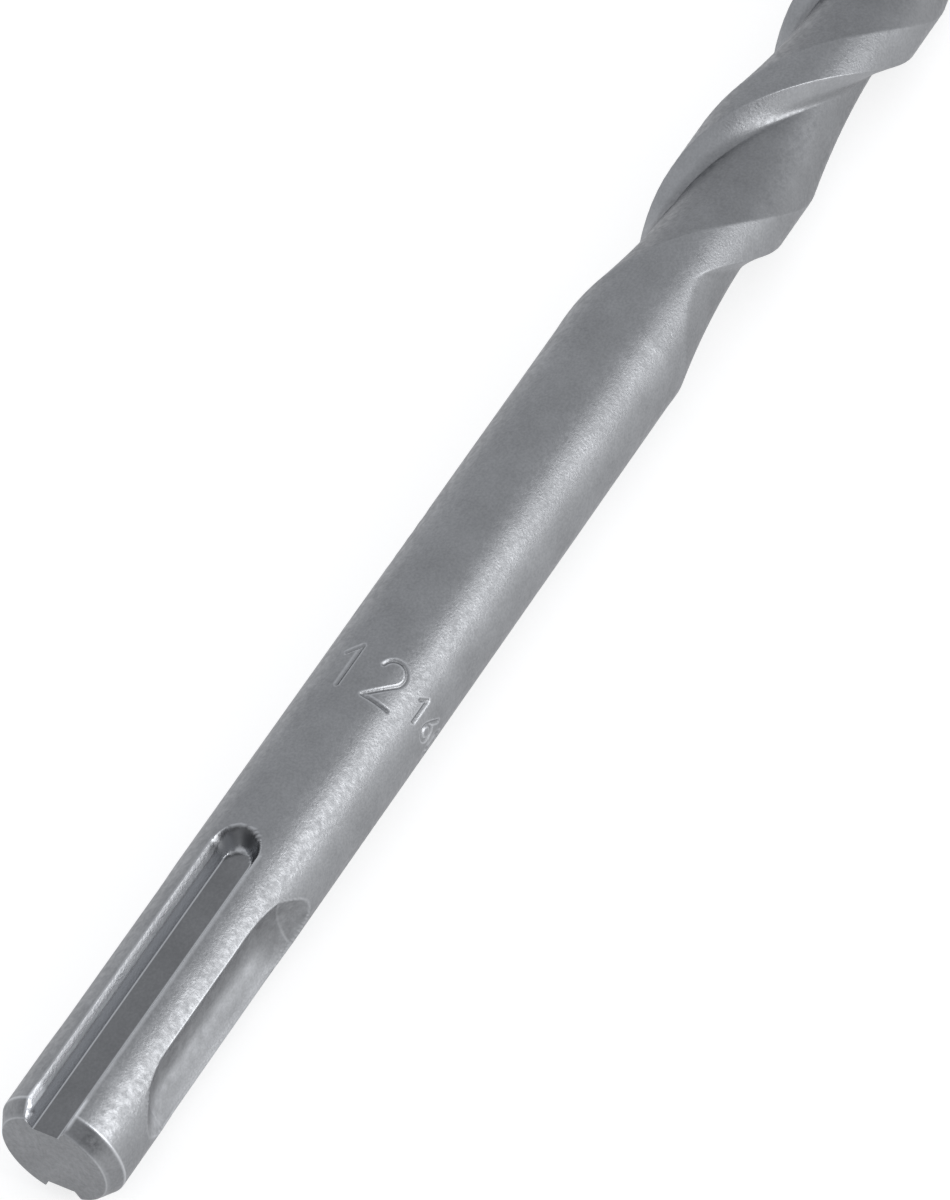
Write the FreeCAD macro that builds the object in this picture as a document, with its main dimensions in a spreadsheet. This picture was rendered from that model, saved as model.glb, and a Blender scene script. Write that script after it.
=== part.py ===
import FreeCAD, Part
import math
import os
import Sketcher

# A two-flute hammer drill bit with a grooved quick-change shank and a carbide tip.
# Frame: the bit's axis is X, from the struck end face at X = 0 to the point at +X.
# The drive grooves open up and down (Z), and the carbide plate lies flat in XY.

# Driving sizes, in millimetres and degrees.
SIZES = {
    # Blank
    "total_length": 160.0,
    "shank_diameter": 10.0,
    "end_face_diameter": 8.4,
    "end_chamfer_length": 1.4,
    # Two drive grooves, open at the end face
    "drive_groove_length": 27.9,
    "drive_groove_floor_width": 2.2,
    "drive_groove_floor_height": 3.15,
    "drive_groove_wall_angle": 28.5,
    # Two closed locking pockets, a quarter turn from the grooves
    "pocket_start": 4.7,
    "pocket_length": 21.9,
    "pocket_trough_radius": 6.0,
    "pocket_floor_height": 3.2,
    "pocket_ramp_length": 2.2,
    "pocket_rear_blend_length": 2.8,
    "pocket_rear_blend_rise": 0.5,
    "pocket_front_blend_length": 3.8,
    "pocket_front_blend_rise": 0.5,
    # Two right-hand flutes; their lands stand a hair proud of the shank
    "land_diameter": 10.06,
    "land_step_length": 0.8,
    "flute_lead": 41.4,
    "flute_start": 80.35,
    "flute_start_angle": 121.0,
    "flute_root_radius": 3.24,
    "flute_slope_length": 14.1,
    "flute_slope_radius": 67.0,
    "flute_foot_radius": 1.8,
    "flute_wall_length": 1.85,
    "runout_angle": 72.0,
    "runout_lift": 1.65,
    # Nose and carbide plate
    "point_angle": 130.0,
    "nose_setback": 1.2,
    "plate_width": 12.0,
    "plate_thickness": 3.0,
    "plate_length": 9.0,
    "plate_relief_angle": 22.0,
    "braze_gap": 0.05,
    # How far a cutting tool reaches past the surface that it cuts
    "overcut": 0.4,
}
COUNT = 2

doc = FreeCAD.newDocument("hammer_drill_bit")
sheet = doc.addObject("Spreadsheet::Sheet", "Sizes")
for row, (alias, number) in enumerate(SIZES.items(), start=1):
    sheet.set("A%d" % row, alias)
    sheet.set("B%d" % row, str(number))
    sheet.setAlias("B%d" % row, alias)
doc.recompute()


def new_body(name):
    """An empty body whose label names its file."""
    body = doc.addObject("PartDesign::Body", name)
    body.Label = name
    return body


def origin_feature(body, role):
    """One of the body's own origin planes or axes."""
    for feature in body.Origin.OriginFeatures:
        if feature.Role == role:
            return feature
    raise RuntimeError("no origin feature " + role)


def new_sketch(body, role, name):
    """A sketch on one of the body's own origin planes."""
    sketch = body.newObject("Sketcher::SketchObject", name)
    sketch.AttachmentSupport = (origin_feature(body, role), [""])
    sketch.MapMode = "FlatFace"
    return sketch


def pin_point(sketch, line, end, across, upward):
    """Hold one end of a line at a place given by two expressions."""
    for kind, text in (("DistanceX", across), ("DistanceY", upward)):
        point = sketch.getPoint(line, end)
        value = point.x if kind == "DistanceX" else point.y
        index = sketch.addConstraint(Sketcher.Constraint(kind, -1, 1, line, end, value))
        sketch.setExpression("Constraints[%d]" % index, text)


def closed_outline(sketch, corners):
    """A closed run of straight lines; each corner is a pair of expressions."""
    count = len(corners)
    turn = 2 * math.pi / count
    rough = [FreeCAD.Vector(math.cos(turn * i), math.sin(turn * i), 0) for i in range(count)]
    for i in range(count):
        sketch.addGeometry(Part.LineSegment(rough[i], rough[(i + 1) % count]), False)
    for i, (across, upward) in enumerate(corners):
        sketch.addConstraint(Sketcher.Constraint("Coincident", i, 2, (i + 1) % count, 1))
        pin_point(sketch, i, 1, across, upward)


def bind(sketch, rows):
    """Add size constraints and tie each to an expression."""
    for kind, where, value, text in rows:
        index = sketch.addConstraint(Sketcher.Constraint(kind, *where, value))
        sketch.setExpression("Constraints[%d]" % index, text)


def arc_between(centre, first, second):
    """An arc about a centre, anticlockwise from the first point to the second."""
    circle = Part.Circle(centre, FreeCAD.Vector(0, 0, 1), (first - centre).Length)
    turns = [math.atan2(point.y - centre.y, point.x - centre.x) for point in (first, second)]
    return Part.ArcOfCircle(circle, turns[0], turns[1])


def twice_about_axis(body, features, name):
    """Repeat cuts half a turn away about the bit's axis."""
    pattern = body.newObject("PartDesign::PolarPattern", name)
    pattern.Originals = features
    pattern.Axis = (origin_feature(body, "X_Axis"), [""])
    pattern.Angle = 360
    pattern.Occurrences = COUNT
    body.Tip = pattern
    return pattern


# Half heights and lengths that several outlines share, as expressions.
SHANK_R = "Sizes.shank_diameter / 2"
LAND_R = "Sizes.land_diameter / 2"
NOSE_TIP = "Sizes.total_length - Sizes.nose_setback"
HALF_POINT = "tan(Sizes.point_angle / 2 * 1deg)"


def make_blank(body):
    """The turned blank: chamfered struck end, plain shank, fluted length and conical nose."""
    sketch = new_sketch(body, "XY_Plane", "blank_profile")
    shoulder = "%s - %s / %s" % (NOSE_TIP, LAND_R, HALF_POINT)
    closed_outline(sketch, [
        ("0", "0"),
        (NOSE_TIP, "0"),
        (shoulder, LAND_R),
        ("Sizes.flute_start - Sizes.land_step_length", LAND_R),
        ("Sizes.flute_start - 2 * Sizes.land_step_length", SHANK_R),
        ("Sizes.end_chamfer_length", SHANK_R),
        ("0", "Sizes.end_face_diameter / 2"),
    ])
    blank = body.newObject("PartDesign::Revolution", "blank")
    blank.Profile = sketch
    blank.ReferenceAxis = (sketch, ["H_Axis"])
    blank.Angle = 360
    return blank


def cut_drive_grooves(body):
    """Two slant-walled grooves with a round end, open at the struck face."""
    sketch = new_sketch(body, "XY_Plane", "drive_groove_plan")
    sketch.setExpression("AttachmentOffset.Base.z", "Sizes.drive_groove_floor_height")
    half = SIZES["drive_groove_floor_width"] / 2
    slope = math.tan(math.radians(SIZES["drive_groove_wall_angle"]))
    rise = SIZES["shank_diameter"] / 2 - SIZES["drive_groove_floor_height"]
    centre_x = SIZES["drive_groove_length"] - rise * slope - half
    back = -SIZES["end_chamfer_length"] - SIZES["overcut"]
    corner = [FreeCAD.Vector(x, y, 0) for x, y in
              ((centre_x, half), (back, half), (back, -half), (centre_x, -half))]
    for first, second in zip(corner, corner[1:]):
        sketch.addGeometry(Part.LineSegment(first, second), False)
    circle = Part.Circle(FreeCAD.Vector(centre_x, 0, 0), FreeCAD.Vector(0, 0, 1), half)
    sketch.addGeometry(Part.ArcOfCircle(circle, -math.pi / 2, math.pi / 2), False)
    for first, second in ((0, 1), (1, 2)):
        sketch.addConstraint(Sketcher.Constraint("Coincident", first, 2, second, 1))
    sketch.addConstraint(Sketcher.Constraint("Tangent", 2, 2, 3, 1))
    sketch.addConstraint(Sketcher.Constraint("Tangent", 3, 2, 0, 1))
    sketch.addConstraint(Sketcher.Constraint("Horizontal", 0))
    sketch.addConstraint(Sketcher.Constraint("Vertical", 1))
    sketch.addConstraint(Sketcher.Constraint("PointOnObject", 3, 3, -1))
    bound = (
        ("Radius", (3,), half, "Sizes.drive_groove_floor_width / 2"),
        ("DistanceX", (-1, 1, 3, 3), centre_x,
         "Sizes.drive_groove_length - Sizes.drive_groove_floor_width / 2"
         " - (%s - Sizes.drive_groove_floor_height)"
         " * tan(Sizes.drive_groove_wall_angle * 1deg)" % SHANK_R),
        ("DistanceX", (-1, 1, 1, 1), back, "-Sizes.end_chamfer_length - Sizes.overcut"),
    )
    bind(sketch, bound)
    groove = body.newObject("PartDesign::Pocket", "drive_groove")
    groove.Profile = sketch
    groove.Type = "Length"
    groove.Reversed = True
    groove.setExpression("Length", "%s - Sizes.drive_groove_floor_height + Sizes.overcut" % SHANK_R)
    groove.setExpression("TaperAngle", "Sizes.drive_groove_wall_angle")
    return twice_about_axis(body, [groove], "drive_grooves")


def cut_locking_pockets(body):
    """Two closed troughs with blended, ramped ends, for the chuck's locking balls."""
    sketch = new_sketch(body, "XY_Plane", "pocket_profile")
    floor = "Sizes.pocket_floor_height"
    axis_height = floor + " + Sizes.pocket_trough_radius"
    over = SHANK_R + " + Sizes.overcut"
    ramp_end = {"rear": "Sizes.pocket_start",
                "front": "Sizes.pocket_start + Sizes.pocket_length"}
    outline = {}
    for name, sign in (("rear", "+"), ("front", "-")):
        rise = "Sizes.pocket_%s_blend_rise" % name
        past = "Sizes.overcut * Sizes.pocket_ramp_length / (%s - %s - %s)" % (SHANK_R, floor, rise)
        inward = {"+": "-", "-": "+"}[sign]
        lip = "%s %s %s" % (ramp_end[name], inward, past)
        crease = "%s %s Sizes.pocket_ramp_length" % (ramp_end[name], sign)
        level = "%s %s Sizes.pocket_%s_blend_length" % (crease, sign, name)
        outline[name] = [(lip, axis_height), (lip, over), (crease, floor + " + " + rise), (level, floor)]
    corners = outline["rear"] + outline["front"][::-1]

    # First places for the solver, in the right order and on the right sides.
    lid = SIZES["pocket_floor_height"] + SIZES["pocket_trough_radius"]
    lip = SIZES["shank_diameter"] / 2 + SIZES["overcut"]
    rear = SIZES["pocket_start"]
    front = rear + SIZES["pocket_length"]
    first_places = {}
    for name, end, inward in (("rear", rear, 1), ("front", front, -1)):
        crease_x = end + inward * SIZES["pocket_ramp_length"]
        level_x = crease_x + inward * SIZES["pocket_%s_blend_length" % name]
        crease_y = SIZES["pocket_floor_height"] + SIZES["pocket_%s_blend_rise" % name]
        first_places[name] = [(end, lid), (end, lip), (crease_x, crease_y),
                              (level_x, SIZES["pocket_floor_height"])]
    rough = [FreeCAD.Vector(x, y, 0) for x, y in first_places["rear"] + first_places["front"][::-1]]
    rear_blend, front_blend = 2, 4
    for i in range(len(rough)):
        first = rough[i]
        second = rough[(i + 1) % len(rough)]
        if i in (rear_blend, front_blend):
            level = second if i == rear_blend else first
            crease = first if i == rear_blend else second
            run = crease.x - level.x
            rise = crease.y - level.y
            centre = level + FreeCAD.Vector(0, (run ** 2 + rise ** 2) / (2 * rise), 0)
            sketch.addGeometry(arc_between(centre, first, second), False)
        else:
            sketch.addGeometry(Part.LineSegment(first, second), False)
    sketch.addConstraint(Sketcher.Constraint("Tangent", rear_blend, 2, 3, 1))
    sketch.addConstraint(Sketcher.Constraint("Tangent", 3, 2, front_blend, 1))
    for i, (across, upward) in enumerate(corners):
        if i not in (2, 3):
            sketch.addConstraint(Sketcher.Constraint("Coincident", i, 2, (i + 1) % len(corners), 1))
        pin_point(sketch, i, 1, across, upward)
    trough = body.newObject("PartDesign::Groove", "locking_pocket")
    trough.Profile = sketch
    trough.ReferenceAxis = (sketch, ["Edge8"])
    trough.Angle = 360
    return twice_about_axis(body, [trough], "locking_pockets")


def draw_flute_section(body):
    """The flute in an axial plane: a long shallow slope, a round foot and a steep wall."""
    sketch = new_sketch(body, "XZ_Plane", "flute_section")
    turn = FreeCAD.Rotation(FreeCAD.Vector(1, 0, 0), SIZES["flute_start_angle"])
    sketch.AttachmentOffset = FreeCAD.Placement(FreeCAD.Vector(0, 0, 0), turn)
    sketch.setExpression("AttachmentOffset.Rotation.Angle", "Sizes.flute_start_angle")
    radius = SIZES["land_diameter"] / 2
    root = SIZES["flute_root_radius"]
    top = radius + SIZES["overcut"]
    lid = top + SIZES["overcut"]
    start = FreeCAD.Vector(SIZES["flute_start"], radius, 0)
    foot = FreeCAD.Vector(SIZES["flute_start"] + SIZES["flute_slope_length"], root, 0)
    crest = FreeCAD.Vector(foot.x + SIZES["flute_wall_length"], radius, 0)

    # The slope is a very flat arc through the start and the foot.
    slope_radius = SIZES["flute_slope_radius"]
    half_chord = (foot - start) / 2
    upward = FreeCAD.Vector(-half_chord.y, half_chord.x, 0).normalize()
    rise = math.sqrt(slope_radius ** 2 - half_chord.Length ** 2)
    slope_centre = start + half_chord + upward * rise
    reach = math.sqrt(slope_radius ** 2 - (slope_centre.y - top) ** 2)
    slope_top = FreeCAD.Vector(slope_centre.x - reach, top, 0)

    # The foot is an arc that touches both the slope and the wall.
    foot_radius = SIZES["flute_foot_radius"]
    along_wall = (crest - foot).normalize()
    off_wall = FreeCAD.Vector(-along_wall.y, along_wall.x, 0)
    wall_top = foot + along_wall * ((top - root) / along_wall.y)
    beside = foot + off_wall * foot_radius - slope_centre
    along = beside.dot(along_wall)
    spare = beside.Length ** 2 - (slope_radius - foot_radius) ** 2
    foot_centre = slope_centre + beside - along_wall * (along + math.sqrt(along ** 2 - spare))
    slope_end = slope_centre + (foot_centre - slope_centre).normalize() * slope_radius
    wall_foot = foot_centre - off_wall * foot_radius

    corners = [wall_foot, wall_top, FreeCAD.Vector(wall_top.x, lid, 0),
               FreeCAD.Vector(slope_top.x, lid, 0), slope_top]
    slope = sketch.addGeometry(arc_between(slope_centre, slope_top, slope_end), False)
    round_foot = sketch.addGeometry(arc_between(foot_centre, slope_end, wall_foot), False)
    wall, right, lid_line, left = [
        sketch.addGeometry(Part.LineSegment(first, second), False)
        for first, second in zip(corners, corners[1:])]
    marks = [sketch.addGeometry(Part.Point(place), True) for place in (start, foot, crest)]

    sketch.addConstraint(Sketcher.Constraint("Tangent", slope, 2, round_foot, 1))
    sketch.addConstraint(Sketcher.Constraint("Tangent", round_foot, 2, wall, 1))
    for first, second in ((wall, right), (right, lid_line), (lid_line, left), (left, slope)):
        sketch.addConstraint(Sketcher.Constraint("Coincident", first, 2, second, 1))
    sketch.addConstraint(Sketcher.Constraint("Vertical", right))
    sketch.addConstraint(Sketcher.Constraint("Horizontal", lid_line))
    sketch.addConstraint(Sketcher.Constraint("Vertical", left))
    for mark, carrier in ((marks[0], slope), (marks[1], slope), (marks[1], wall), (marks[2], wall)):
        sketch.addConstraint(Sketcher.Constraint("PointOnObject", mark, 1, carrier))

    foot_text = "Sizes.flute_start + Sizes.flute_slope_length"
    top_text = LAND_R + " + Sizes.overcut"
    bound = (
        ("Radius", (slope,), slope_radius, "Sizes.flute_slope_radius"),
        ("Radius", (round_foot,), foot_radius, "Sizes.flute_foot_radius"),
        ("DistanceX", (-1, 1, marks[0], 1), start.x, "Sizes.flute_start"),
        ("DistanceY", (-1, 1, marks[0], 1), start.y, LAND_R),
        ("DistanceX", (-1, 1, marks[1], 1), foot.x, foot_text),
        ("DistanceY", (-1, 1, marks[1], 1), foot.y, "Sizes.flute_root_radius"),
        ("DistanceX", (-1, 1, marks[2], 1), crest.x, foot_text + " + Sizes.flute_wall_length"),
        ("DistanceY", (-1, 1, marks[2], 1), crest.y, LAND_R),
        ("DistanceY", (-1, 1, wall, 2), top, top_text),
        ("DistanceY", (-1, 1, slope, 1), top, top_text),
        ("DistanceY", (-1, 1, lid_line, 1), lid, top_text + " + Sizes.overcut"),
    )
    bind(sketch, bound)
    return sketch


def cut_flutes(body):
    """Two right-hand helical flutes that lift out of the bar before the shank."""
    section = draw_flute_section(body)
    flute = body.newObject("PartDesign::SubtractiveHelix", "flute")
    flute.Profile = section
    flute.ReferenceAxis = (origin_feature(body, "X_Axis"), [""])
    flute.Mode = "pitch-height-angle"
    flute.setExpression("Pitch", "Sizes.flute_lead")
    flute.setExpression("Height", "Sizes.total_length - Sizes.flute_start")
    lift = body.newObject("PartDesign::SubtractiveHelix", "flute_runout")
    lift.Profile = section
    lift.ReferenceAxis = (origin_feature(body, "X_Axis"), [""])
    lift.Mode = "height-turns-growth"
    lift.setExpression(
        "Height", "Sizes.flute_lead * Sizes.runout_angle / 360 - Sizes.runout_lift"
        " * Sizes.flute_wall_length / (%s - Sizes.flute_root_radius)" % LAND_R)
    lift.setExpression("Turns", "Sizes.runout_angle / 360")
    lift.setExpression("Growth", "Sizes.runout_lift * 360 / Sizes.runout_angle")
    lift.Reversed = True
    return twice_about_axis(body, [flute, lift], "flutes")


def cut_plate_slot(body):
    """The slot across the nose that the carbide plate is brazed into."""
    sketch = new_sketch(body, "XZ_Plane", "slot_side")
    half = "Sizes.plate_thickness / 2 + Sizes.braze_gap"
    floor = "Sizes.total_length - Sizes.plate_length"
    closed_outline(sketch, [
        (floor, "-(%s)" % half),
        ("Sizes.total_length", "-(%s)" % half),
        ("Sizes.total_length", half),
        (floor, half),
    ])
    slot = body.newObject("PartDesign::Pocket", "plate_slot")
    slot.Profile = sketch
    slot.Midplane = True
    slot.Type = "Length"
    slot.setExpression("Length", "Sizes.land_diameter + 2 * Sizes.overcut")
    body.Tip = slot
    return slot


def make_plate(body):
    """The carbide plate: a roof-pointed bar with a relief behind each cutting edge."""
    sketch = new_sketch(body, "XY_Plane", "plate_plan")
    floor = "Sizes.total_length - Sizes.plate_length"
    half = "Sizes.plate_width / 2"
    shoulder = "Sizes.total_length - %s / %s" % (half, HALF_POINT)
    closed_outline(sketch, [
        (floor, "-" + half),
        (shoulder, "-" + half),
        ("Sizes.total_length", "0"),
        (shoulder, half),
        (floor, half),
    ])
    plate = body.newObject("PartDesign::Pad", "plate")
    plate.Profile = sketch
    plate.Midplane = True
    plate.setExpression("Length", "Sizes.plate_thickness")
    side = new_sketch(body, "XZ_Plane", "relief_side")
    thick = "Sizes.plate_thickness"
    drop = thick + " * tan(Sizes.plate_relief_angle * 1deg)"
    closed_outline(side, [
        ("Sizes.total_length", thick + " / 2"),
        ("Sizes.total_length - " + drop, "-%s / 2" % thick),
        ("Sizes.total_length + Sizes.overcut", "-%s / 2" % thick),
        ("Sizes.total_length + Sizes.overcut", thick + " / 2"),
    ])
    relief = body.newObject("PartDesign::Pocket", "relief")
    relief.Profile = side
    relief.UseCustomVector = True
    slant = math.tan(math.radians(SIZES["point_angle"] / 2))
    relief.Direction = FreeCAD.Vector(-1, slant, 0)
    relief.AlongSketchNormal = True
    relief.setExpression("Length", "Sizes.plate_width")
    return twice_about_axis(body, [relief], "reliefs")


def finish_and_write(bodies):
    """Check every object, then write each sub-part's solid."""
    doc.recompute()
    for item in doc.Objects:
        if "Invalid" in item.State or "Error" in item.State:
            raise RuntimeError("%s failed: %s" % (item.Name, item.State))
    os.makedirs("parts", exist_ok=True)
    for body in bodies:
        shape = body.Shape
        if shape.isNull() or not shape.isValid():
            raise RuntimeError(body.Label + " has no valid shape")
        shape.exportStep("parts/%s.step" % body.Label)
        print(body.Label, round(shape.Volume, 2), len(shape.Faces), len(shape.Solids))


drill_body = new_body("drill_body")
make_blank(drill_body)
cut_drive_grooves(drill_body)
cut_locking_pockets(drill_body)
cut_flutes(drill_body)
cut_plate_slot(drill_body)

carbide_tip = new_body("carbide_tip")
make_plate(carbide_tip)

finish_and_write([drill_body, carbide_tip])
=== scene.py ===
"""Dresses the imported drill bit: a finer steel body, brazed carbide, floor, light and camera."""
import math

import bpy
import numpy as np
from mathutils import Matrix, Vector


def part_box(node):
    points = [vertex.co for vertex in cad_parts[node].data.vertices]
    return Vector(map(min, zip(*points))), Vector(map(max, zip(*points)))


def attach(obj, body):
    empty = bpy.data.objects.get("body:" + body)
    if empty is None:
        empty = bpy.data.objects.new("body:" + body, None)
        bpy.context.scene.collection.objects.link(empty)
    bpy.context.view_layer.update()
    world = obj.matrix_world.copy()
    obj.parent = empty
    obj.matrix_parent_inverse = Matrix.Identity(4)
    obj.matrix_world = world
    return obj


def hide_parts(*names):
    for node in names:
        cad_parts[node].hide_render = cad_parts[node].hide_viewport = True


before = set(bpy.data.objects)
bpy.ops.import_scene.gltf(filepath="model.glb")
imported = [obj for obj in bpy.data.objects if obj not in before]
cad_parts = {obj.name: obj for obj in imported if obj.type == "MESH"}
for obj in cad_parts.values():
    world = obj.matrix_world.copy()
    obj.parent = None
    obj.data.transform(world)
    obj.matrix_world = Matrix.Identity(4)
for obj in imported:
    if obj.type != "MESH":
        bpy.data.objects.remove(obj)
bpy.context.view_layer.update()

MM = 0.001

# A radius that no steel reaches, for places where a cut isn't
FAR = 99.0

# The steel body, in millimetres and degrees: X runs from the struck end, angles from +Y towards +Z
SHANK_RADIUS = 5.0
LAND_RADIUS = 5.03
LAND_START = 78.75
LAND_STEP = 0.8
END_RADIUS = 4.2
END_CHAMFER = 1.4
END_EDGE_ROUND = 0.12
NOSE_APEX = 158.8
HALF_POINT_ANGLE = 65.0

# Widths over which edges and inner corners are rounded
END_WEAR = 0.04
GROOVE_WEAR = 0.08
POCKET_WEAR = 0.07
FLUTE_WEAR = 0.05
INNER_CORNER = 0.06

# Two drive grooves
GROOVE_LENGTH = 27.9
GROOVE_FLOOR_HALF_WIDTH = 1.1
GROOVE_FLOOR_HEIGHT = 3.15
GROOVE_WALL_ANGLE = 28.5
GROOVE_AT = 90.0

# Two locking pockets
POCKET_START = 4.7
POCKET_LENGTH = 21.9
POCKET_RAMP = 2.2
POCKET_REAR_BLEND = 2.8
POCKET_FRONT_BLEND = 3.8
POCKET_BLEND_RISE = 0.5
POCKET_FLOOR = 3.2
POCKET_CUTTER_RADIUS = 6.0

# Two helical flutes and their run-out
FLUTE_LEAD = 41.4
FLUTE_START = 80.35
FLUTE_START_ANGLE = 211.0
FLUTE_SLOPE_LENGTH = 14.1
FLUTE_SLOPE_BOW = 67.0
FLUTE_WALL_LENGTH = 1.85
FLUTE_ROOT_RADIUS = 3.24
FLUTE_FOOT_ROUND = 1.1
RUNOUT_ANGLE = 72.0
RUNOUT_LIFT = 1.65

# The slot for the carbide plate
SLOT_START = 151.0
SLOT_HALF_WIDTH = 1.55
BRAZE_RADIUS = 0.16

# The stamped size: each line is its text, first angle, base line and height
STAMP_LINES = (("12", 66.0, 41.6, 3.8), ("160", 147.0, 42.6, 2.1))
STAMP_START = 41.0
STAMP_END = 46.0
STAMP_DEPTH = 0.13
STAMP_HALF_WIDTH = 0.24

# A digit's width and the gap to the next, as shares of its height
DIGIT_WIDTH = 0.6
DIGIT_GAP = 0.28

# Where the mesh's columns begin to turn, and where they turn with the flutes
TURN_START = 60.0
TURN_FULL = 72.0

# The steel's colour, its roughness and its grain: fine bump, larger blotches of roughness, and pale patches
STEEL_COLOUR = (0.279, 0.285, 0.296)
STEEL_TINT = (0.78, 0.78, 0.79, 1)
STEEL_ROUGHNESS = 0.40
GRAIN_SCALE = 5200.0
GRAIN_DETAIL = 1.5
GRAIN_DEPTH = 0.000015
GRAIN_TONE = 0.08
BLOTCH_SCALE = 2100.0
BLOTCH_DETAIL = 1.0
BLOTCH_ROUGHNESS = 0.1
PATCH_SCALE = 320.0
PATCH_TONE = 0.07
SMOOTH_BUMP = 0.1

# The grooves: darker and glossier, full at this depth, their dark partly a finish and partly painted shade.
# Fades are shares of the wall's height
GROOVE_FULL_DEPTH = 0.08
GROOVE_TONE = 0.62
GROOVE_ROUGHNESS = 0.15
# More painted shade on the upper wall, and painted light on the low wall
GROOVE_UPPER_WALL_SHADE = 0.4
GROOVE_UPPER_FADE = (0.4, 0.9)
GROOVE_LOWER_WALL_LIGHT = 0.4
GROOVE_FOOT_FADE = (0.0, 0.1)
GROOVE_LOWER_FADE = (0.1, 0.6)
GROOVE_RIM = 0.6
GROOVE_NO_BLOTCHES = 0.6

# The wall at the grooves' round end, darker still with painted shade: where it starts along the axis and up
# the wall
END_WALL_FADE = (24.8, 26.0)
END_WALL_FOOT_FADE = (0.0, 0.12)
END_WALL_SHADE_TONE = 0.4
END_WALL_ROUGHNESS = 0.3

# The pockets: painted shade on their walls, and a painted highlight along one flank, fading before the front
# ramp, both mottled by noise
POCKET_FULL_DEPTH = 0.05
POCKET_SHADE_TONE = 0.8
POCKET_HIGHLIGHT_TONE = 1.4
POCKET_HIGHLIGHT_FADE = (20.5, 23.5)
POCKET_HIGHLIGHT_AT = 18.0
POCKET_HIGHLIGHT_HALF_ANGLE = 13.0
POCKET_MOTTLE_SCALE = 900.0
POCKET_MOTTLE_DETAIL = 3.0
POCKET_MOTTLE_TONE = 0.5
POCKET_MOTTLE_LOW = 0.35
POCKET_MOTTLE_HIGH = 0.65

# The flutes' finish: darker and smoother, but for their steep walls, which lose the darker tone and take a
# painted highlight
FLUTE_FULL_DEPTH = 0.02
FLUTE_TONE = 0.86
FLUTE_SMOOTHNESS = 0.5
FLUTE_WALL_SLOPE = 0.2
FLUTE_WALL_SLOPE_RANGE = 0.5
FLUTE_WALL_LIFT = 2.8
FLUTE_WALL_FADE = (0.05, 0.5)
FLUTE_WALL_HIGHLIGHT = 0.18
FLUTE_WALL_BLOTCHES = 0.3

# Brighter edges, partly worn and partly a painted highlight, and inner corners, which take a painted
# highlight
EDGE_SHINE = 0.6
END_EDGE_SHINE = 1.5
FACE_EDGE_SHARE = 0.3
FLUTE_EDGE_SHINE = 0.1
CORNER_HIGHLIGHT = 1.0
POCKET_CORNER_SHARE = 0.45

# An edge is a place that stands out over its surroundings this far away, and is full at this height
PROBE_STEP = 0.12
FULL_EDGE = 0.02
SURFACE_TOLERANCE = 0.02

# Noise lies between these for nearly all of a surface
NOISE_LOW = 0.3
NOISE_HIGH = 0.7

# The carbide's ground finish and the braze
CARBIDE_COLOUR = (0.2, 0.2, 0.205)
CARBIDE_ROUGHNESS = 0.32
GRINDING_SCALE = 9000.0
GRINDING_DETAIL = 3.0
GRINDING_STRETCH = 0.06
GRINDING_DEPTH = 0.00001
GRINDING_TONE = 0.2
CLOUD_SCALE = 500.0
CLOUD_TONE = 0.1
BRAZE_COLOUR = (0.36, 0.29, 0.17)
BRAZE_ROUGHNESS = 0.4
BRAZE_GRAIN_SCALE = 2500.0
BRAZE_TONE = 0.2

# The camera, found by fitting the drill bit's own edges to the photo
CAMERA_AIM = (55.48, -1.80, 0.0)
CAMERA_DISTANCE = 652.07
CAMERA_AZIMUTH = 49.63
CAMERA_ELEVATION = 49.69
CAMERA_ROLL = 13.0
CAMERA_LENS = 270.0
CAMERA_REACH = 20.0

# The studio: sky colours by height, a darker side, and the lamp as direction, distance and size in metres
WHITE = (1, 1, 1, 1)
HORIZON_COLOUR = (0.84, 0.85, 0.87, 1)
CEILING_COLOUR = (0.74, 0.75, 0.77, 1)
CEILING_HEIGHT = 0.75
DARK_SIDE_DIRECTION = (-0.6, -0.8, 0.15)
DARK_SIDE_COLOUR = (0.38, 0.38, 0.39, 1)
DARK_SIDE_EDGE = 0.72
DARK_SIDE_FULL = 0.92
KEY_DIRECTION = (0.17, -0.895, 0.393)
KEY_DISTANCE = 0.9
KEY_SIZE = (0.58, 0.62)
KEY_POWER = 3.9
FLOOR_SIZE = 8.0
FLOOR_COLOUR = (0.5, 0.5, 0.5, 1)
FLOOR_ROUGHNESS = 0.9
FLOOR_LIFT = 0.66


def smooth_min(first, second, width):
    """The lower of two surfaces, with the edge between them rounded over that width."""
    share = np.clip(0.5 + 0.5 * (second - first) / width, 0.0, 1.0)
    return second + (first - second) * share - width * share * (1.0 - share)


def smooth_max(first, second, width):
    """The higher of two surfaces, with the corner between them rounded over that width."""
    return -smooth_min(-first, -second, width)


def ease(x, start, end):
    """Goes smoothly from 0 to 1 between two places."""
    share = np.clip((x - start) / (end - start), 0, 1)
    return share * share * (3 - 2 * share)


def fold(angle, centre, period):
    """Angle from the nearest of the features that repeat each period."""
    return (angle - centre + period / 2) % period - period / 2


def blank_radius(x):
    """The turned blank: end chamfer, shank, the small step up to the lands and the cone of the nose."""
    chamfer = END_RADIUS + (SHANK_RADIUS - END_RADIUS) * x / END_CHAMFER
    chamfer = chamfer - END_EDGE_ROUND * np.clip(1 - x / END_EDGE_ROUND, 0, 1) ** 2
    step = np.clip((x - LAND_START) / LAND_STEP, 0, 1)
    barrel = SHANK_RADIUS + (LAND_RADIUS - SHANK_RADIUS) * step
    nose = (NOSE_APEX - x) * math.tan(math.radians(HALF_POINT_ANGLE))
    return smooth_min(smooth_min(barrel, chamfer, END_WEAR), nose, END_WEAR)


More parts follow.
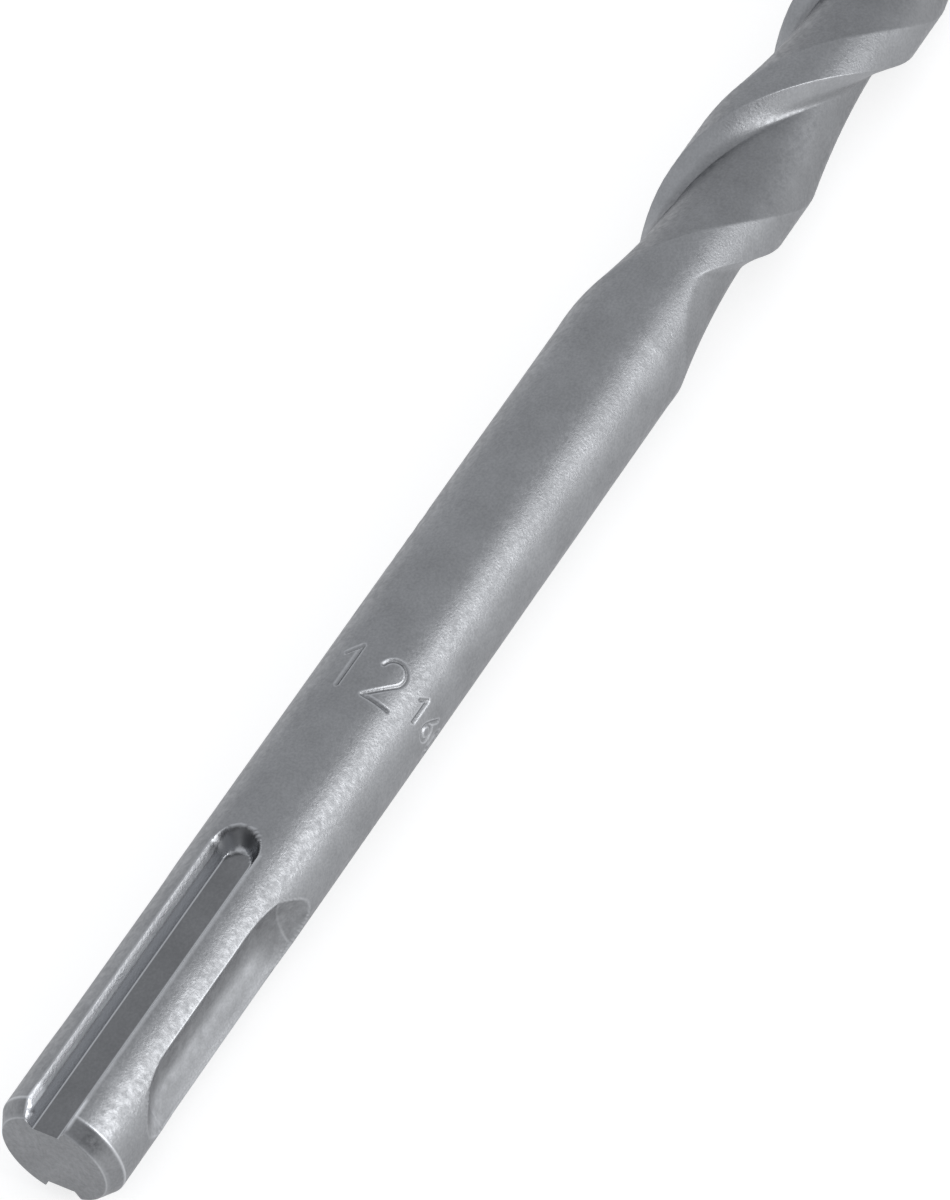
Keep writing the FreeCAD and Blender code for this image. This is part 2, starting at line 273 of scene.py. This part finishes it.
def groove_radius(x, angle):
    """The two open drive grooves, with leaning walls and a round end."""
    slope = math.tan(math.radians(GROOVE_WALL_ANGLE))
    least = 1e-4
    side = np.radians(np.abs(fold(angle, GROOVE_AT, 180.0)))
    cos, sin = np.cos(side), np.sin(side)
    offset = GROOVE_FLOOR_HALF_WIDTH - GROOVE_FLOOR_HEIGHT * slope
    end_centre = GROOVE_LENGTH - (offset + SHANK_RADIUS * slope)
    past = np.clip(x - end_centre, 0, None)
    square = (cos * slope) ** 2 - sin ** 2
    linear = -offset * cos * slope
    root = np.sqrt(np.clip(linear ** 2 + square * (past ** 2 - offset ** 2), 0, None))
    open_here = square > least
    wall = np.where(open_here, (linear + root) / np.where(open_here, square, 1.0), FAR)
    floor = np.where(open_here, GROOVE_FLOOR_HEIGHT / np.where(open_here, cos, 1.0), FAR)
    return smooth_max(floor, np.minimum(wall, FAR), INNER_CORNER)


def pocket_depth_line(x):
    """Height of a pocket's floor over the axis, from ramp to ramp."""
    crease = POCKET_FLOOR + POCKET_BLEND_RISE
    end = POCKET_START + POCKET_LENGTH
    rear_level = POCKET_START + POCKET_RAMP + POCKET_REAR_BLEND
    front_level = end - POCKET_RAMP - POCKET_FRONT_BLEND
    rear = POCKET_BLEND_RISE * (np.clip(rear_level - x, 0, None) / POCKET_REAR_BLEND) ** 2
    front = POCKET_BLEND_RISE * (np.clip(x - front_level, 0, None) / POCKET_FRONT_BLEND) ** 2
    level = POCKET_FLOOR + rear + front
    steepness = (SHANK_RADIUS - crease) / POCKET_RAMP
    rear_ramp = crease + steepness * (POCKET_START + POCKET_RAMP - x)
    front_ramp = crease + steepness * (x - end + POCKET_RAMP)
    return np.maximum(level, np.maximum(rear_ramp, front_ramp))


def pocket_radius(x, angle):
    """The two closed locking pockets, troughs of a round cutter."""
    axis_height = POCKET_FLOOR + POCKET_CUTTER_RADIUS
    cutter = axis_height - pocket_depth_line(x)
    side = np.radians(fold(angle, 0.0, 180.0))
    reach = cutter ** 2 - (axis_height * np.sin(side)) ** 2
    met = (reach > 0) & (cutter > 0)
    radius = axis_height * np.cos(side) - np.sqrt(np.maximum(reach, 0))
    return np.where(met, radius, FAR)


def flute_profile(x):
    """One flute along the axis: a long bowed slope down, a round foot and a steep wall up to the land."""
    drop = LAND_RADIUS - FLUTE_ROOT_RADIUS
    straight = LAND_RADIUS - drop * x / FLUTE_SLOPE_LENGTH
    bow = x * (FLUTE_SLOPE_LENGTH - x) / (2 * FLUTE_SLOPE_BOW)
    wall = FLUTE_ROOT_RADIUS + drop * (x - FLUTE_SLOPE_LENGTH) / FLUTE_WALL_LENGTH
    return smooth_max(straight - bow, wall, FLUTE_FOOT_ROUND)


def flute_radius(x, angle):
    """Both flutes, each with its run-out, where the cutter lifts out of the steel."""
    lowest = np.full(np.broadcast(x, angle).shape, FAR)
    wall_slope = FLUTE_WALL_LENGTH / (LAND_RADIUS - FLUTE_ROOT_RADIUS)
    turns = 4
    margin = 2.5
    angle_margin = 10.0
    for start in (FLUTE_START_ANGLE, FLUTE_START_ANGLE - 180.0):
        first = (angle - start) % 360.0 - 360.0
        for turn in range(turns):
            path = first + 360.0 * turn
            lift = RUNOUT_LIFT * np.clip(-path, 0, None) / RUNOUT_ANGLE
            begin = FLUTE_START + FLUTE_LEAD * path / 360.0 + wall_slope * lift
            local = x - begin
            cut = flute_profile(local) + lift
            near = (local > -margin) & (local < FLUTE_SLOPE_LENGTH + FLUTE_WALL_LENGTH + margin)
            near = near & (path > -RUNOUT_ANGLE - angle_margin)
            lowest = np.where(near, np.minimum(lowest, cut), lowest)
    return lowest


def arc(centre, size, first, last):
    """Points of an ellipse's arc from one angle to another."""
    step = 15
    points = []
    for turn in np.radians(np.linspace(first, last, 1 + round(abs(last - first) / step))):
        points.append((centre[0] + size[0] * math.cos(turn), centre[1] + size[1] * math.sin(turn)))
    return points


def digit_stroke(digit):
    """One plain digit, of those that the stamp needs, as a single stroke one unit high."""
    if digit == "1":
        return [(0.08, 0.78), (0.34, 1.0), (0.34, 0.0)]
    if digit == "2":
        return arc((0.3, 0.72), (0.27, 0.28), 165, -38) + [(0.02, 0.0), (0.6, 0.0)]
    if digit == "6":
        return [(0.5, 1.0), (0.2, 0.64)] + arc((0.31, 0.29), (0.28, 0.29), 150, 510)
    return arc((0.3, 0.5), (0.28, 0.5), 0, 360)


def stamp_depth(x, angle):
    """How deep the stamped size is pressed in at each place."""
    distance = np.full(np.broadcast(x, angle).shape, FAR)
    across = np.radians(angle) * SHANK_RADIUS
    for text, first_angle, base_line, height in STAMP_LINES:
        for place, digit in enumerate(text):
            left = math.radians(first_angle) * SHANK_RADIUS + place * (DIGIT_WIDTH + DIGIT_GAP) * height
            stroke = [(left + over * height, base_line + up * height) for over, up in digit_stroke(digit)]
            for start, end in zip(stroke, stroke[1:]):
                run = (end[0] - start[0], end[1] - start[1])
                share = (across - start[0]) * run[0] + (x - start[1]) * run[1]
                share = np.clip(share / (run[0] ** 2 + run[1] ** 2), 0, 1)
                gap = np.hypot(across - start[0] - share * run[0], x - start[1] - share * run[1])
                distance = np.minimum(distance, gap)
    return STAMP_DEPTH * ease(1 - distance / STAMP_HALF_WIDTH, 0, 1)


def body_radius(x, angle):
    """Distance of the steel's surface from the axis. The body is the blank less every cut."""
    radius = blank_radius(x) + 0 * angle
    radius = smooth_min(radius, groove_radius(x, angle), GROOVE_WEAR)
    radius = smooth_min(radius, pocket_radius(x, angle), POCKET_WEAR)
    radius = np.maximum(smooth_min(radius, flute_radius(x, angle), FLUTE_WEAR), 0.0)
    return radius - stamp_depth(x, angle % 360)


def spread(zones, copies=1):
    """Angles of the mesh's columns all round. Each zone is (start, end, columns)."""
    angles = []
    for copy in range(copies):
        for start, end, columns in zones:
            angles.extend(np.linspace(start, end, columns, endpoint=False) + copy * 360.0 / copies)
    return np.array(angles)


def column_angles(x):
    """Angles of the mesh's columns at one place along the axis.

    They are close together at the grooves and pockets, then at the stamped size, and at last at the flutes'
    edges. From TURN_START on they turn, slowly at first and then as the flutes do.
    """
    socket = spread([
        (67.0, 74.0, 13),
        (74.0, 106.0, 10),
        (106.0, 113.0, 13),
        (113.0, 134.0, 8),
        (134.0, 150.0, 22),
        (150.0, 210.0, 22),
        (210.0, 226.0, 22),
        (226.0, 247.0, 8),
    ], 2)
    stamp = spread([(60.0, 190.0, 150), (190.0, 420.0, 86)])
    flute = spread([(-8.0, 6.0, 20), (6.0, 106.0, 36), (106.0, 146.0, 48), (146.0, 172.0, 14)], 2)
    flute = FLUTE_START_ANGLE - 180.0 - flute[::-1]
    socket_end, stamp_start, stamp_end = 29.0, 40.0, 47.0
    rate = 360.0 / FLUTE_LEAD
    run = TURN_FULL - TURN_START
    share = np.clip((x - TURN_START) / run, 0, 1)
    turned = rate * (run * (share ** 3 - share ** 4 / 2) + max(x - TURN_FULL, 0.0))
    flute = flute + rate * ((TURN_FULL - FLUTE_START) - run / 2)
    flute = flute + 360.0 * round((np.mean(stamp) - np.mean(flute)) / 360.0)
    angles = socket + (stamp - socket) * ease(x, socket_end, stamp_start)
    return angles + (flute - angles) * ease(x, stamp_end, TURN_FULL) + turned


def stations():
    """Places of the mesh's rings along the axis. Each run is (start, end, rings).

    The rings are close together at the end chamfer, the pockets' ramps, the grooves' end, the stamped size,
    the flutes' run-out and the nose.
    """
    runs = [
        (0.0, 0.18, 4),
        (0.18, 1.2, 4),
        (1.2, 1.6, 8),
        (1.6, 4.5, 6),
        (4.5, 8.5, 20),
        (8.5, 22.5, 20),
        (22.5, 28.2, 36),
        (28.2, STAMP_START, 16),
        (STAMP_START, STAMP_END, 64),
        (STAMP_END, TURN_START, 9),
        (TURN_START, TURN_FULL, 24),
        (TURN_FULL, 92.0, 80),
        (92.0, 155.8, 78),
        (155.8, NOSE_APEX, 30),
    ]
    places = []
    for start, end, rings in runs:
        places.extend(np.linspace(start, end, rings, endpoint=False))
    return np.array(places)


def make_body():
    """A fine mesh of the steel body, ring by ring, from the middle of the struck face to the nose."""
    rings = [(x, column_angles(x)) for x in stations()]
    along = np.array([np.full(angles.shape, x) for x, angles in rings])
    angle = np.array([angles for _, angles in rings])
    radius = body_radius(along, angle)
    end_face_rings = np.array([[0.5], [0.9], [0.985]])
    along = np.vstack([along[:1] * end_face_rings, along])
    angle = np.vstack([angle[:1] + 0 * end_face_rings, angle])
    radius = np.vstack([radius[:1] * end_face_rings, radius])
    turn = np.radians(angle)
    ring_points = np.stack([along, radius * np.cos(turn), radius * np.sin(turn)], 2) * MM
    rows, count = along.shape
    points = [(0.0, 0.0, 0.0)] + ring_points.reshape(-1, 3).tolist() + [(NOSE_APEX * MM, 0.0, 0.0)]
    faces = []
    for column in range(count):
        after = (column + 1) % count
        faces.append((0, 1 + after, 1 + column))
        for row in range(rows - 1):
            base = 1 + row * count
            faces.append((base + column, base + after, base + count + after, base + count + column))
        last = 1 + (rows - 1) * count
        faces.append((last + column, last + after, len(points) - 1))
    mesh = bpy.data.meshes.new("steel_body")
    mesh.from_pydata(points, [], faces)
    body = bpy.data.objects.new("steel_body", mesh)
    bpy.context.scene.collection.objects.link(body)
    return body


def cut_slot(body):
    """Cuts the slot for the carbide plate, and keeps the result as the body's own mesh."""
    reach = 20.0
    bpy.ops.mesh.primitive_cube_add(size=1)
    cutter = bpy.context.object
    cutter.scale = (reach * MM, reach * MM, 2 * SLOT_HALF_WIDTH * MM)
    cutter.location = ((SLOT_START + reach / 2) * MM, 0, 0)
    modifier = body.modifiers.new("slot", "BOOLEAN")
    modifier.operation = "DIFFERENCE"
    modifier.solver = "EXACT"
    modifier.object = cutter
    bpy.context.view_layer.update()
    shape = body.evaluated_get(bpy.context.evaluated_depsgraph_get())
    body_mesh = bpy.data.meshes.new_from_object(shape)
    body.modifiers.clear()
    body.data = body_mesh
    bpy.data.objects.remove(cutter)


def mark_surface(body):
    """Stores for the material which cut each point lies in, how far it is an edge or an inner corner, and
    where shade and highlights are painted.

    Points on the struck face and in the slot lie inside the steel's round surface, and take only the mark
    that the flutes have.
    """
    mesh = body.data
    points = np.empty(3 * len(mesh.vertices))
    mesh.vertices.foreach_get("co", points)
    points = points.reshape(-1, 3) / MM
    x = points[:, 0]
    radius = np.hypot(points[:, 1], points[:, 2])
    angle = np.degrees(np.arctan2(points[:, 2], points[:, 1]))
    swing = np.degrees(PROBE_STEP / np.maximum(radius, 1.0))
    moves = ((PROBE_STEP, 0), (-PROBE_STEP, 0), (0, swing), (0, -swing))
    nearby = [body_radius(np.maximum(x + move, 0.0), angle + turn) for move, turn in moves]
    here = body_radius(x, angle)
    stands_out = here - sum(nearby) / len(moves)
    rise = (nearby[0] - nearby[1]) / (2 * PROBE_STEP)
    blank = blank_radius(x)
    outside = radius > here - SURFACE_TOLERANCE

    groove_depth = blank - groove_radius(x, angle)
    in_groove = groove_depth > 0
    groove_height = radius * np.cos(np.radians(fold(angle, GROOVE_AT, 180.0)))
    up_wall = np.clip((groove_height - GROOVE_FLOOR_HEIGHT) / (SHANK_RADIUS - GROOVE_FLOOR_HEIGHT), 0, 1)
    # More painted shade on the groove's upper wall, and painted light on its low wall
    low_wall = ease(up_wall, *GROOVE_FOOT_FADE) * (1 - ease(up_wall, *GROOVE_LOWER_FADE))
    groove_wall_shade_and_light = GROOVE_UPPER_WALL_SHADE * ease(up_wall, *GROOVE_UPPER_FADE) - GROOVE_LOWER_WALL_LIGHT * low_wall
    # Painted shade on the wall at the grooves' round end
    end_wall = ease(x, *END_WALL_FADE) * ease(up_wall, *END_WALL_FOOT_FADE) * in_groove

    pocket = np.clip((blank - pocket_radius(x, angle)) / POCKET_FULL_DEPTH, 0, 1)
    # Painted shade on the pockets' walls, and a painted highlight along one flank
    pocket_highlight = np.exp(-((fold(angle, 0.0, 180.0) - POCKET_HIGHLIGHT_AT) / POCKET_HIGHLIGHT_HALF_ANGLE) ** 2)
    pocket_highlight = pocket_highlight * (1 - ease(x, *POCKET_HIGHLIGHT_FADE))
    pocket_shade_and_highlight = POCKET_SHADE_TONE + (POCKET_HIGHLIGHT_TONE - POCKET_SHADE_TONE) * pocket_highlight

    flute_wall = np.clip((rise - FLUTE_WALL_SLOPE) / FLUTE_WALL_SLOPE_RANGE, 0, 1)
    up_flute = np.clip((radius - FLUTE_ROOT_RADIUS) / (LAND_RADIUS - FLUTE_ROOT_RADIUS), 0, 1)
    in_flute = np.clip((blank - flute_radius(x, angle)) / FLUTE_FULL_DEPTH, 0, 1)
    # The steep walls lose the flutes' darker tone and take a painted highlight
    flute = in_flute * (1 - FLUTE_WALL_LIFT * flute_wall * up_flute)
    wall_highlight = FLUTE_WALL_HIGHLIGHT * in_flute * flute_wall * ease(up_flute, *FLUTE_WALL_FADE)
    # The struck face and its chamfer have the flutes' finish
    on_end = (x < END_CHAMFER) & (~in_groove | ~outside)

    # Edges are brighter, partly by wear and partly by a painted highlight; inner corners take a painted
    # highlight
    edge = np.clip(stands_out / FULL_EDGE, 0, 1)
    end_shine = END_EDGE_SHINE * (FACE_EDGE_SHARE + (1 - FACE_EDGE_SHARE) * ease(x, 0.0, 1.0))
    shine = np.where(x < 2 * END_CHAMFER, end_shine, EDGE_SHINE)
    shine = np.where(x > STAMP_END, FLUTE_EDGE_SHINE, shine)
    crease = np.clip(-stands_out / FULL_EDGE, 0, 1)
    marks = {
        "groove": np.clip(groove_depth / GROOVE_FULL_DEPTH, 0, 1) * (1 + groove_wall_shade_and_light - GROOVE_RIM * edge),
        "end_wall": end_wall,
        "pocket": pocket * (pocket_shade_and_highlight - 1),
        "flute": np.where(on_end, 1, flute),
        "edge": np.maximum(edge * shine, wall_highlight),
        "crease": crease * np.where(pocket > 0, POCKET_CORNER_SHARE, in_groove),
    }
    for name, values in marks.items():
        layer = mesh.attributes.new(name, "FLOAT", "POINT")
        shown = np.where(outside | (name == "flute"), values, 0)
        layer.data.foreach_set("value", shown.astype(np.float32))


def add_node(tree, kind, links=(), **values):
    """A shader node with these properties, and with its inputs linked as (input, output socket)."""
    node = tree.nodes.new(kind)
    for name, value in values.items():
        setattr(node, name, value)
    for socket, source in links:
        tree.links.new(source, node.inputs[socket])
    return node


def noise(tree, place, scale, detail=2.0):
    """Smooth noise; a scale of 1000 has marks of about a millimetre."""
    node = add_node(tree, "ShaderNodeTexNoise", [("Vector", place)])
    node.inputs["Scale"].default_value = scale
    node.inputs["Detail"].default_value = detail
    return node.outputs["Fac"]


def ranged(tree, value, low, high, start=0.0, end=1.0):
    """value, mapped from start..end to low..high and kept within them."""
    node = add_node(tree, "ShaderNodeMapRange", [("Value", value)])
    node.inputs["From Min"].default_value = start
    node.inputs["From Max"].default_value = end
    node.inputs["To Min"].default_value = low
    node.inputs["To Max"].default_value = high
    return node.outputs["Result"]


def varied(tree, value, amount):
    """Noise, mapped to a factor of 1 with that much more or less."""
    return ranged(tree, value, 1 - amount, 1 + amount, NOISE_LOW, NOISE_HIGH)


def maths(tree, operation, first, second):
    """A sum, product or the like of two values; either may be a plain number."""
    node = add_node(tree, "ShaderNodeMath", operation=operation)
    for socket, value in zip(node.inputs, (first, second)):
        if isinstance(value, (int, float)):
            socket.default_value = value
        else:
            tree.links.new(value, socket)
    return node.outputs["Value"]


def tinted(tree, value, colour):
    """A colour, scaled by a value."""
    node = add_node(tree, "ShaderNodeVectorMath", operation="SCALE")
    node.inputs[0].default_value = colour
    tree.links.new(value, node.inputs["Scale"])
    return node.outputs["Vector"]


def new_material(name):
    """A material with its node tree and its shader."""
    material = bpy.data.materials.new(name)
    material.use_nodes = True
    return material, material.node_tree, material.node_tree.nodes["Principled BSDF"]


def steel_material():
    """Grit-blasted steel: sparkling grain outside, smoother and darker in the cuts, partly by painted shade,
    with painted highlights on inner corners, the flutes' walls and one flank of each pocket, and brighter
    edges, partly worn and partly a painted highlight.
    """
    material, tree, shader = new_material("blasted_steel")
    place = add_node(tree, "ShaderNodeTexCoord").outputs["Object"]
    marks = {}
    for name in ("groove", "end_wall", "pocket", "flute", "edge", "crease"):
        marks[name] = add_node(tree, "ShaderNodeAttribute", attribute_name=name).outputs["Fac"]
    grain = noise(tree, place, GRAIN_SCALE, GRAIN_DETAIL)

    tone = varied(tree, grain, GRAIN_TONE)
    tone = maths(tree, "MULTIPLY", tone, varied(tree, noise(tree, place, PATCH_SCALE), PATCH_TONE))
    # The cuts' tones: the grooves partly a darker finish and partly painted shade, their round end painted
    # shade, the flutes a darker finish
    for name, cut_tone in (("groove", GROOVE_TONE), ("end_wall", END_WALL_SHADE_TONE), ("flute", FLUTE_TONE)):
        tone = maths(tree, "MULTIPLY", tone, ranged(tree, marks[name], 1.0, cut_tone))
    # Painted shade on the pockets' walls and a painted highlight on one flank, mottled by noise
    pocket_mottle = noise(tree, place, POCKET_MOTTLE_SCALE, POCKET_MOTTLE_DETAIL)
    pocket_mottle = ranged(tree, pocket_mottle, 1 - POCKET_MOTTLE_TONE, 1 + POCKET_MOTTLE_TONE, POCKET_MOTTLE_LOW, POCKET_MOTTLE_HIGH)
    pocket_shade_and_highlight = maths(tree, "ADD", maths(tree, "MULTIPLY", marks["pocket"], pocket_mottle), 1.0)
    tone = maths(tree, "MULTIPLY", tone, pocket_shade_and_highlight)
    # Brighter edges, partly wear and partly a painted highlight, with painted highlights in inner corners
    # and on the flutes' walls
    edge_wear_and_highlight = maths(tree, "MAXIMUM", marks["edge"], maths(tree, "MULTIPLY", marks["crease"], CORNER_HIGHLIGHT))
    tone = maths(tree, "ADD", tone, edge_wear_and_highlight)
    tree.links.new(tinted(tree, tone, STEEL_COLOUR), shader.inputs["Base Color"])

    blotches = noise(tree, place, BLOTCH_SCALE, BLOTCH_DETAIL)
    blotches = ranged(tree, blotches, -BLOTCH_ROUGHNESS, BLOTCH_ROUGHNESS, NOISE_LOW, NOISE_HIGH)
    calm_groove = ranged(tree, marks["groove"], 1.0, 0.0, 0.0, GROOVE_NO_BLOTCHES)
    calm_wall = ranged(tree, marks["edge"], 1.0, FLUTE_WALL_BLOTCHES, 0.0, FLUTE_WALL_HIGHLIGHT)
    blotches = maths(tree, "MULTIPLY", maths(tree, "MULTIPLY", blotches, calm_groove), calm_wall)
    rough = ranged(tree, marks["groove"], STEEL_ROUGHNESS, GROOVE_ROUGHNESS)
    end_wall_rough = ranged(tree, marks["end_wall"], 0.0, END_WALL_ROUGHNESS)
    rough = maths(tree, "MAXIMUM", maths(tree, "ADD", rough, blotches), end_wall_rough)
    tree.links.new(rough, shader.inputs["Roughness"])

    smooth = maths(tree, "MULTIPLY", marks["flute"], FLUTE_SMOOTHNESS)
    smooth = maths(tree, "MAXIMUM", marks["groove"], smooth)
    strength = ranged(tree, smooth, 1.0, SMOOTH_BUMP)
    bump = add_node(tree, "ShaderNodeBump", [("Height", grain), ("Strength", strength)])
    bump.inputs["Distance"].default_value = GRAIN_DEPTH
    tree.links.new(bump.outputs["Normal"], shader.inputs["Normal"])
    shader.inputs["Metallic"].default_value = 1.0
    shader.inputs["Specular Tint"].default_value = STEEL_TINT
    return material


def carbide_material():
    """Ground carbide: dark grey, with fine grinding lines."""
    material, tree, shader = new_material("ground_carbide")
    place = add_node(tree, "ShaderNodeTexCoord").outputs["Object"]
    stretch = add_node(tree, "ShaderNodeMapping", [("Vector", place)])
    stretch.inputs["Scale"].default_value = (1.0, GRINDING_STRETCH, 1.0)
    lines = noise(tree, stretch.outputs["Vector"], GRINDING_SCALE, GRINDING_DETAIL)
    clouds = noise(tree, place, CLOUD_SCALE)
    tone = maths(tree, "MULTIPLY", varied(tree, lines, GRINDING_TONE), varied(tree, clouds, CLOUD_TONE))
    tree.links.new(tinted(tree, tone, CARBIDE_COLOUR), shader.inputs["Base Color"])
    bump = add_node(tree, "ShaderNodeBump", [("Height", lines)])
    bump.inputs["Distance"].default_value = GRINDING_DEPTH
    tree.links.new(bump.outputs["Normal"], shader.inputs["Normal"])
    shader.inputs["Metallic"].default_value = 1.0
    shader.inputs["Roughness"].default_value = CARBIDE_ROUGHNESS
    return material


def braze_material():
    """Dull brass-coloured braze."""
    material, tree, shader = new_material("braze")
    place = add_node(tree, "ShaderNodeTexCoord").outputs["Object"]
    tone = varied(tree, noise(tree, place, BRAZE_GRAIN_SCALE), BRAZE_TONE)
    tree.links.new(tinted(tree, tone, BRAZE_COLOUR), shader.inputs["Base Color"])
    shader.inputs["Metallic"].default_value = 1.0
    shader.inputs["Roughness"].default_value = BRAZE_ROUGHNESS
    return material


def make_braze(side):
    """A thin bead of braze where one flat of the plate meets the steel, from side to side over the nose."""
    height = side * SLOT_HALF_WIDTH
    last = NOSE_APEX - SLOT_HALF_WIDTH / math.tan(math.radians(HALF_POINT_ANGLE))
    steps = 60
    tries = 12
    flanks = []
    for flank in (1, -1):
        line = []
        for i in range(steps):
            x = SLOT_START + (last - SLOT_START) * i / (steps - 1)
            radius = LAND_RADIUS
            for _ in range(tries):
                rise = math.asin(max(-1.0, min(1.0, height / radius)))
                angle = math.degrees(rise) if flank > 0 else 180.0 - math.degrees(rise)
                radius = max(float(body_radius(np.array(x), np.array(angle))), SLOT_HALF_WIDTH)
            line.append((x, flank * math.sqrt(max(radius ** 2 - height ** 2, 0.0)), height))
        flanks.append(line)
    path = flanks[0] + flanks[1][::-1]
    curve = bpy.data.curves.new("braze_bead", "CURVE")
    curve.dimensions = "3D"
    curve.bevel_depth = BRAZE_RADIUS * MM
    curve.bevel_resolution = 3
    curve.use_fill_caps = True
    spline = curve.splines.new("POLY")
    spline.points.add(len(path) - 1)
    for point, place in zip(spline.points, path):
        point.co = (place[0] * MM, place[1] * MM, place[2] * MM, 1)
    bead = bpy.data.objects.new("braze_bead_top" if side > 0 else "braze_bead_bottom", curve)
    bpy.context.scene.collection.objects.link(bead)
    return bead


def make_floor():
    """A pale floor under the bit, white where no shadow falls."""
    bpy.ops.mesh.primitive_plane_add(size=FLOOR_SIZE)
    floor = bpy.context.object
    floor.name = "floor"
    floor.location = (CAMERA_AIM[0] * MM, 0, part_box("drill_body")[0][2])
    material, tree, shader = new_material("pale_floor")
    shader.inputs["Base Color"].default_value = FLOOR_COLOUR
    shader.inputs["Roughness"].default_value = FLOOR_ROUGHNESS
    shader.inputs["Emission Color"].default_value = WHITE
    path = add_node(tree, "ShaderNodeLightPath").outputs
    seen = maths(tree, "MAXIMUM", path["Is Camera Ray"], path["Is Glossy Ray"])
    seen = maths(tree, "MAXIMUM", seen, path["Is Transmission Ray"])
    tree.links.new(maths(tree, "MULTIPLY", seen, FLOOR_LIFT), shader.inputs["Emission Strength"])
    floor.data.materials.append(material)


def blend_ramp(tree, value, start, end, first, last):
    """A colour that goes from first to last as value goes from start to end."""
    node = add_node(tree, "ShaderNodeValToRGB", [("Fac", value)])
    low, high = node.color_ramp.elements
    low.position, high.position = start, end
    low.color, high.color = first, last
    return node.outputs["Color"]


def make_light():
    """A soft studio: a sky bright at the horizon, greyer overhead and to one side, and one large lamp."""
    world = bpy.data.worlds.new("studio")
    bpy.context.scene.world = world
    world.use_nodes = True
    tree = world.node_tree
    place = add_node(tree, "ShaderNodeTexCoord").outputs["Generated"]
    up = add_node(tree, "ShaderNodeSeparateXYZ", [("Vector", place)]).outputs["Z"]
    sky = blend_ramp(tree, up, 0.0, CEILING_HEIGHT, HORIZON_COLOUR, CEILING_COLOUR)
    towards = add_node(tree, "ShaderNodeVectorMath", [(0, place)], operation="DOT_PRODUCT")
    towards.inputs[1].default_value = Vector(DARK_SIDE_DIRECTION).normalized()
    towards = towards.outputs["Value"]
    shade = blend_ramp(tree, towards, DARK_SIDE_EDGE, DARK_SIDE_FULL, WHITE, DARK_SIDE_COLOUR)
    mixed = add_node(tree, "ShaderNodeVectorMath", [(0, sky), (1, shade)], operation="MULTIPLY")
    tree.links.new(mixed.outputs["Vector"], tree.nodes["Background"].inputs["Color"])

    lamp = bpy.data.lights.new("key", "AREA")
    lamp.shape = "RECTANGLE"
    lamp.size, lamp.size_y = KEY_SIZE
    lamp.energy = KEY_POWER
    key = bpy.data.objects.new("key", lamp)
    target = Vector(CAMERA_AIM) * MM
    key.location = target + Vector(KEY_DIRECTION).normalized() * KEY_DISTANCE
    key.rotation_euler = (key.location - target).to_track_quat("Z", "Y").to_euler()
    bpy.context.scene.collection.objects.link(key)


def make_camera():
    """Stands the camera where the photo was taken from."""
    azimuth, elevation = math.radians(CAMERA_AZIMUTH), math.radians(CAMERA_ELEVATION)
    forward = Vector((
        math.sin(azimuth) * math.cos(elevation),
        math.cos(azimuth) * math.cos(elevation),
        -math.sin(elevation),
    ))
    level = forward.to_track_quat("-Z", "Y").to_matrix()
    camera = bpy.data.objects.new("camera", bpy.data.cameras.new("camera"))
    camera.data.lens = CAMERA_LENS
    camera.data.clip_end = CAMERA_REACH
    camera.rotation_euler = (level @ Matrix.Rotation(-math.radians(CAMERA_ROLL), 3, "Z")).to_euler()
    camera.location = (Vector(CAMERA_AIM) - forward * CAMERA_DISTANCE) * MM
    bpy.context.scene.collection.objects.link(camera)
    bpy.context.scene.camera = camera


def make_steel():
    """The finished steel body in place of its CAD node."""
    sharp_angle = 40
    body = make_body()
    cut_slot(body)
    mark_surface(body)
    body.data.materials.clear()
    body.data.materials.append(steel_material())
    body.data.polygons.foreach_set("use_smooth", [True] * len(body.data.polygons))
    body.data.set_sharp_from_angle(angle=math.radians(sharp_angle))
    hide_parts("drill_body")
    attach(body, "root")


def make_carbide():
    """The carbide plate's finish, and the braze that holds it."""
    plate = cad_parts["carbide_tip"]
    plate.material_slots[0].material = carbide_material()
    material = braze_material()
    for side in (1, -1):
        bead = make_braze(side)
        bead.data.materials.append(material)
        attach(bead, "root")


make_camera()
make_light()
make_floor()
make_steel()
make_carbide()
bpy.context.scene.view_settings.view_transform = "Standard"
